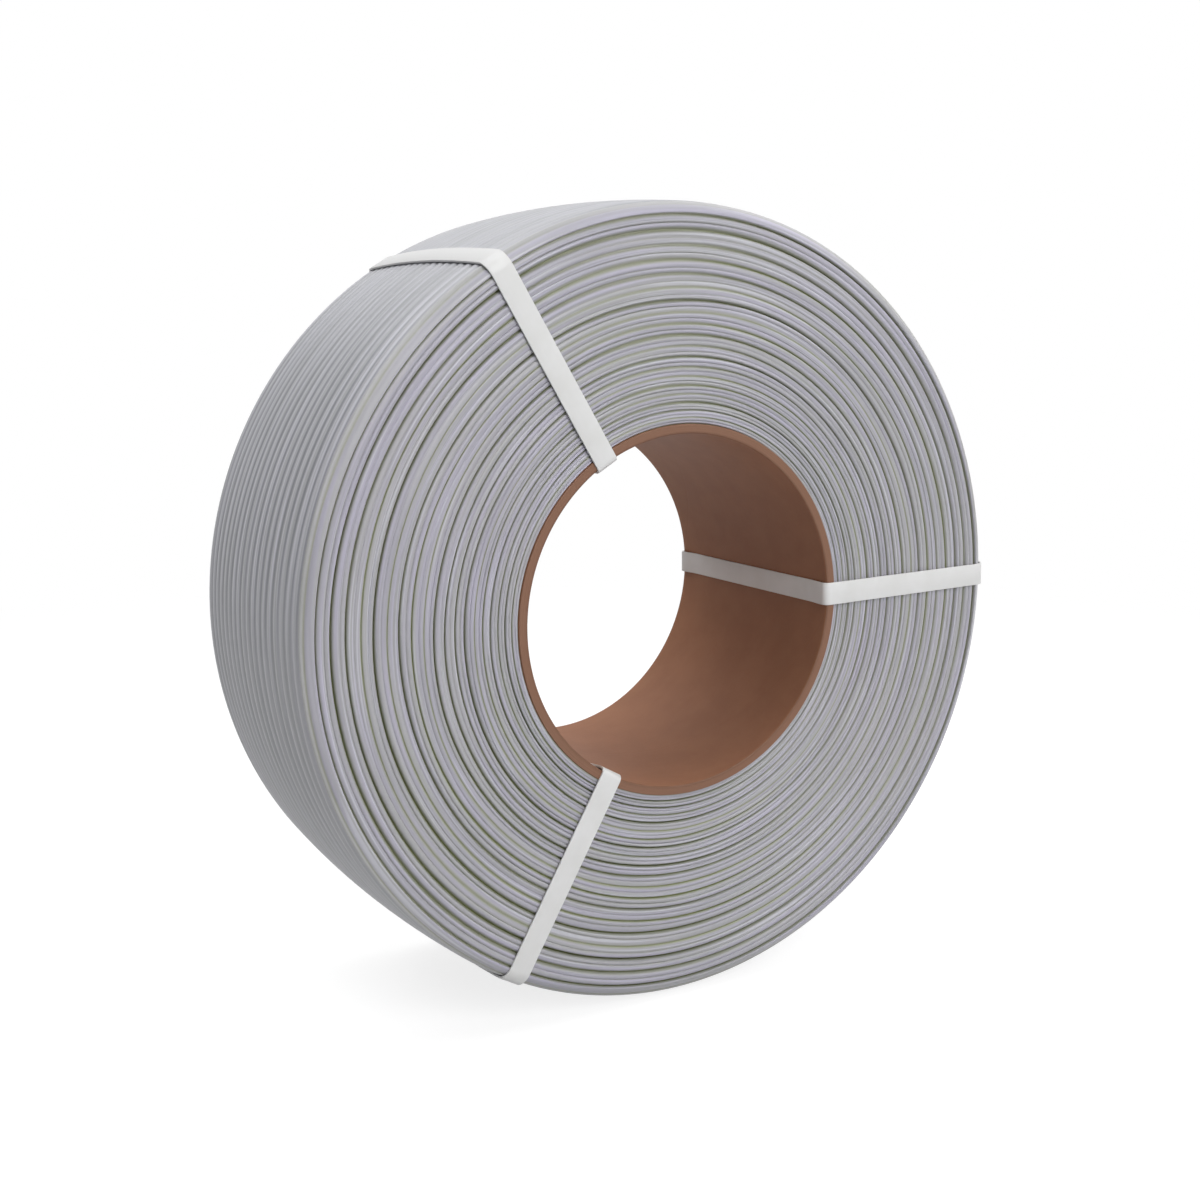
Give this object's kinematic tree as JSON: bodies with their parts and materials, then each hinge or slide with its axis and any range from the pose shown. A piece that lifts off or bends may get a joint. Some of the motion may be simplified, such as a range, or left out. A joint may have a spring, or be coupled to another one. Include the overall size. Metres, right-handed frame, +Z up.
{
  "type": "filament refill coil",
  "caption": "Refill coil of light grey 3D printing filament, wound in layers on a brown cardboard core and held by flat white straps, with an open bore for a reusable spool's hub.",
  "frame": {"origin": "centre of the core's bore, halfway between the coil's two faces", "axes": "+Y along the bore axis from the front face to the back face, +Z up as the coil stands on its rim, +X to the right seen from the front"},
  "size_m": [0.1741, 0.06, 0.1736],
  "materials": {
    "cardboard": "matte kraft paper",
    "filament": "satin",
    "strap": "satin"
  },
  "bodies": {
    "root": {"core_tube": "cardboard", "filament_layer_01": "filament", "filament_layer_02": "filament", "filament_layer_03": "filament", "filament_layer_04": "filament", "filament_layer_05": "filament", "filament_layer_06": "filament", "filament_layer_07": "filament", "filament_layer_08": "filament", "filament_layer_09": "filament", "filament_layer_10": "filament", "filament_layer_11": "filament", "filament_layer_12": "filament", "filament_layer_13": "filament", "filament_layer_14": "filament", "filament_layer_15": "filament", "filament_layer_16": "filament", "filament_layer_17": "filament", "filament_layer_18": "filament", "filament_layer_19": "filament", "filament_layer_20": "filament", "strap_right": "strap", "strap_upper_left": "strap", "strap_lower_left": "strap"}
  },
  "joints": []
}
